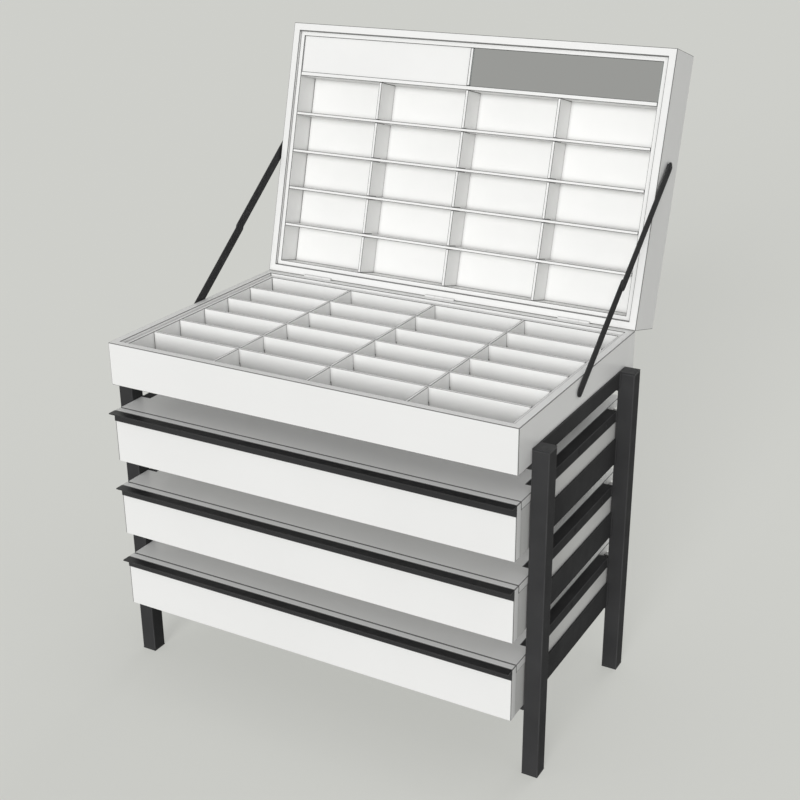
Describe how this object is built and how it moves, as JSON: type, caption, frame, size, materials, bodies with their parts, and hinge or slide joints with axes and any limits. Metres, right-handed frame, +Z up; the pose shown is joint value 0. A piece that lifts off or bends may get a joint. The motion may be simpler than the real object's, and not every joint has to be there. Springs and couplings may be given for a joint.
{
  "type": "eyewear display cabinet",
  "caption": "White case whose tray and deep hinged lid are divided into compartments, on a black square-tube stand with folding lid stays, shelf boards and full-width sliding drawers.",
  "frame": {"origin": "on the floor, under the middle of the whole cabinet's plan with the lid open, which is 105 mm behind the middle of the tray", "axes": "+X to the right as seen from the drawer fronts, +Y towards the back, +Z up"},
  "size_m": [0.86, 0.7426, 1.1529],
  "materials": {
    "white_board": "white satin lacquer on board",
    "insert_board": "white matt lacquer on board",
    "drawer_board": "white melamine on board",
    "black_steel": "black powder coat",
    "black_plastic": "black moulded plastic",
    "black_aluminium": "black anodised profile",
    "hinge_steel": "brushed",
    "mirror": "grey mirror glass"
  },
  "bodies": {
    "stand": {"post_front_left": "black_steel", "post_front_right": "black_steel", "post_rear_left": "black_steel", "post_rear_right": "black_steel", "post_caps": "black_plastic", "foot_glides": "black_plastic", "crossbars": "black_steel", "tray_angles": "black_steel", "runner_angles_1": "black_steel", "runner_angles_2": "black_steel", "runner_angles_3": "black_steel", "shelf_rails_1": "black_steel", "shelf_rails_2": "black_steel", "shelf_rails_3": "black_steel", "shelf_board_1": "white_board", "shelf_board_2": "white_board", "shelf_board_3": "white_board", "drawer_stops": "drawer_board", "tray_end_boards": "white_board", "tray_side_boards": "white_board", "tray_bottom": "white_board", "tray_insert_walls": "insert_board", "tray_insert_floor": "insert_board", "tray_long_dividers": "insert_board", "tray_cross_dividers": "insert_board", "hinge_leaves_tray": "hinge_steel", "hinge_pins": "hinge_steel", "stay_foot_pins": "black_steel"},
    "lid": {"lid_end_boards": "white_board", "lid_side_boards": "white_board", "lid_panel": "white_board", "lid_insert_walls": "insert_board", "lid_cell_back": "insert_board", "lid_long_dividers": "insert_board", "lid_cross_dividers": "insert_board", "header_rails": "insert_board", "header_board": "insert_board", "header_mirror": "mirror", "hinge_leaves_lid": "hinge_steel", "stay_head_pins": "black_steel"},
    "stay_lower_left": {"stay_lower_left": "black_steel"},
    "stay_lower_right": {"stay_lower_right": "black_steel"},
    "stay_upper_left": {"stay_upper_left": "black_steel"},
    "stay_upper_right": {"stay_upper_right": "black_steel"},
    "drawer_1": {"drawer_1_front": "white_board", "drawer_1_walls": "drawer_board", "drawer_1_base": "drawer_board", "drawer_1_dividers": "drawer_board", "drawer_1_handle": "black_aluminium"},
    "drawer_2": {"drawer_2_front": "white_board", "drawer_2_walls": "drawer_board", "drawer_2_base": "drawer_board", "drawer_2_dividers": "drawer_board", "drawer_2_handle": "black_aluminium"},
    "drawer_3": {"drawer_3_front": "white_board", "drawer_3_walls": "drawer_board", "drawer_3_base": "drawer_board", "drawer_3_dividers": "drawer_board", "drawer_3_handle": "black_aluminium"}
  },
  "joints": [
    {"name": "lid_hinge", "type": "hinge", "parent": "stand", "child": "lid", "pos_m": [0, 0.14525, 0.67], "axis": [1, 0, 0], "range_deg": [0, 105]},
    {"name": "stay_lower_left_pivot", "type": "hinge", "parent": "stand", "child": "stay_lower_left", "pos_m": [-0.4018, -0.11675, 0.646], "axis": [1, 0, 0], "range_deg": [-39.26, 0]},
    {"name": "stay_upper_left_pivot", "type": "hinge", "parent": "lid", "child": "stay_upper_left", "pos_m": [-0.4041, 0.26436, 0.94453], "axis": [1, 0, 0], "range_deg": [0, 20.99]},
    {"name": "stay_lower_right_pivot", "type": "hinge", "parent": "stand", "child": "stay_lower_right", "pos_m": [0.4018, -0.11675, 0.646], "axis": [1, 0, 0], "range_deg": [-39.26, 0]},
    {"name": "stay_upper_right_pivot", "type": "hinge", "parent": "lid", "child": "stay_upper_right", "pos_m": [0.4041, 0.26436, 0.94453], "axis": [1, 0, 0], "range_deg": [0, 20.99]},
    {"name": "drawer_1_slide", "type": "slide", "parent": "stand", "child": "drawer_1", "axis": [0, -1, 0], "range_m": [0, 0.3]},
    {"name": "drawer_2_slide", "type": "slide", "parent": "stand", "child": "drawer_2", "axis": [0, -1, 0], "range_m": [0, 0.3]},
    {"name": "drawer_3_slide", "type": "slide", "parent": "stand", "child": "drawer_3", "axis": [0, -1, 0], "range_m": [0, 0.3]}
  ],
  "couplings": [
    {"joint": "stay_lower_left_pivot", "follows": "lid_hinge", "ratio": -0.37386},
    {"joint": "stay_upper_left_pivot", "follows": "lid_hinge", "ratio": 0.19987},
    {"joint": "stay_lower_right_pivot", "follows": "lid_hinge", "ratio": -0.37386},
    {"joint": "stay_upper_right_pivot", "follows": "lid_hinge", "ratio": 0.19987}
  ]
}
